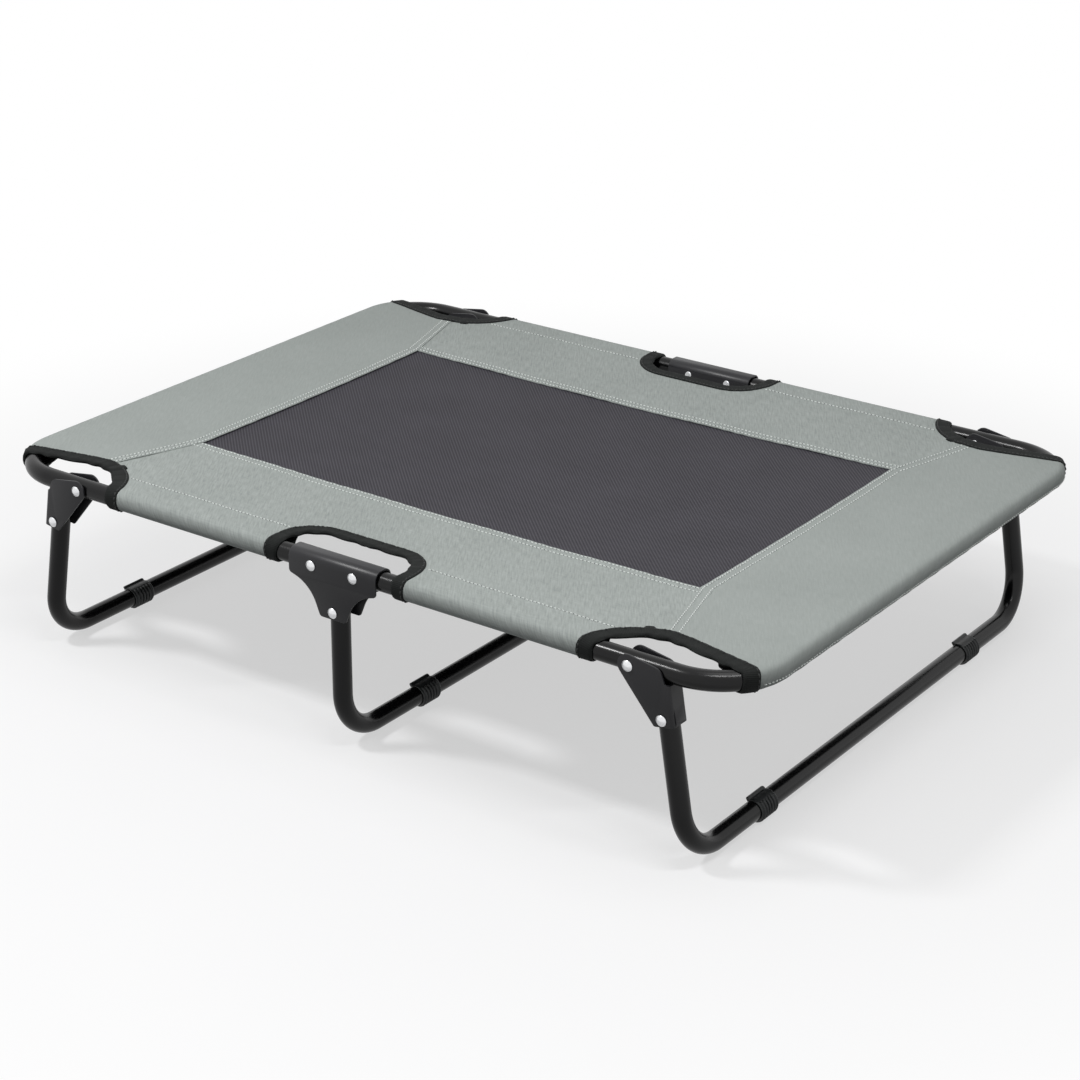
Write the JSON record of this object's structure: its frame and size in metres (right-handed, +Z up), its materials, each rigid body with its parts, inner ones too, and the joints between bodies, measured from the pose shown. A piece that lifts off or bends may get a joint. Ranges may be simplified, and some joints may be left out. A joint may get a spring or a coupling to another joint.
{
  "type": "folding dog bed",
  "caption": "Raised folding dog bed: a round-tube frame hinged in the middle carries a sewn sling with a mesh panel on folding U legs with rubber feet.",
  "frame": {"origin": "on the floor under the middle of the bed", "axes": "+X along the bed's long side, from the left half to the right half; +Y along its short side, from the front to the rear; +Z up"},
  "size_m": [0.894, 0.6792, 0.2017],
  "materials": {
    "tube": "gloss black paint on round steel tube",
    "bracket": "satin charcoal paint on folded steel sheet",
    "rivet": "bright domed rivet heads",
    "rubber": "matt black rubber with ribs",
    "fabric": "woven grey-green polyester",
    "mesh": "charcoal open-weave mesh",
    "binding": "black woven tape"
  },
  "bodies": {
    "middle": {"front_hinge_bracket": "bracket", "front_middle_binding": "binding", "front_middle_foot": "rubber", "front_middle_leg_rivet": "rivet", "front_middle_strip": "fabric", "left_front_hinge_rivet": "rivet", "left_rear_hinge_rivet": "rivet", "middle_leg_tube": "tube", "middle_mesh_panel": "mesh", "rear_hinge_bracket": "bracket", "rear_middle_binding": "binding", "rear_middle_foot": "rubber", "rear_middle_leg_rivet": "rivet", "rear_middle_strip": "fabric", "right_front_hinge_rivet": "rivet", "right_rear_hinge_rivet": "rivet"},
    "left_half": {"left_end_panel": "fabric", "left_frame_tube": "tube", "left_front_corner_binding": "binding", "left_front_hinge_binding": "binding", "left_front_side_panel": "fabric", "left_mesh_panel": "mesh", "left_rear_corner_binding": "binding", "left_rear_hinge_binding": "binding", "left_rear_side_panel": "fabric"},
    "right_half": {"right_end_panel": "fabric", "right_frame_tube": "tube", "right_front_corner_binding": "binding", "right_front_hinge_binding": "binding", "right_front_side_panel": "fabric", "right_mesh_panel": "mesh", "right_rear_corner_binding": "binding", "right_rear_hinge_binding": "binding", "right_rear_side_panel": "fabric"},
    "left_leg": {"left_front_foot": "rubber", "left_front_leg_bracket": "bracket", "left_front_lower_rivet": "rivet", "left_front_upper_rivet": "rivet", "left_leg_tube": "tube", "left_rear_foot": "rubber", "left_rear_leg_bracket": "bracket", "left_rear_lower_rivet": "rivet", "left_rear_upper_rivet": "rivet"},
    "right_leg": {"right_front_foot": "rubber", "right_front_leg_bracket": "bracket", "right_front_lower_rivet": "rivet", "right_front_upper_rivet": "rivet", "right_leg_tube": "tube", "right_rear_foot": "rubber", "right_rear_leg_bracket": "bracket", "right_rear_lower_rivet": "rivet", "right_rear_upper_rivet": "rivet"}
  },
  "joints": [
    {"name": "left_half_fold", "type": "hinge", "parent": "middle", "child": "left_half", "pos_m": [-0.025, 0, 0.19], "axis": [0, -1, 0], "range_deg": [0, 70]},
    {"name": "left_leg_fold", "type": "hinge", "parent": "left_half", "child": "left_leg", "pos_m": [-0.329, 0, 0.19], "axis": [0, -1, 0], "range_deg": [0, 98]},
    {"name": "right_half_fold", "type": "hinge", "parent": "middle", "child": "right_half", "pos_m": [0.025, 0, 0.19], "axis": [0, 1, 0], "range_deg": [0, 70]},
    {"name": "right_leg_fold", "type": "hinge", "parent": "right_half", "child": "right_leg", "pos_m": [0.329, 0, 0.19], "axis": [0, 1, 0], "range_deg": [0, 98]}
  ],
  "couplings": [
    {"joint": "left_leg_fold", "follows": "left_half_fold", "ratio": 1.4},
    {"joint": "right_leg_fold", "follows": "right_half_fold", "ratio": 1.4}
  ]
}
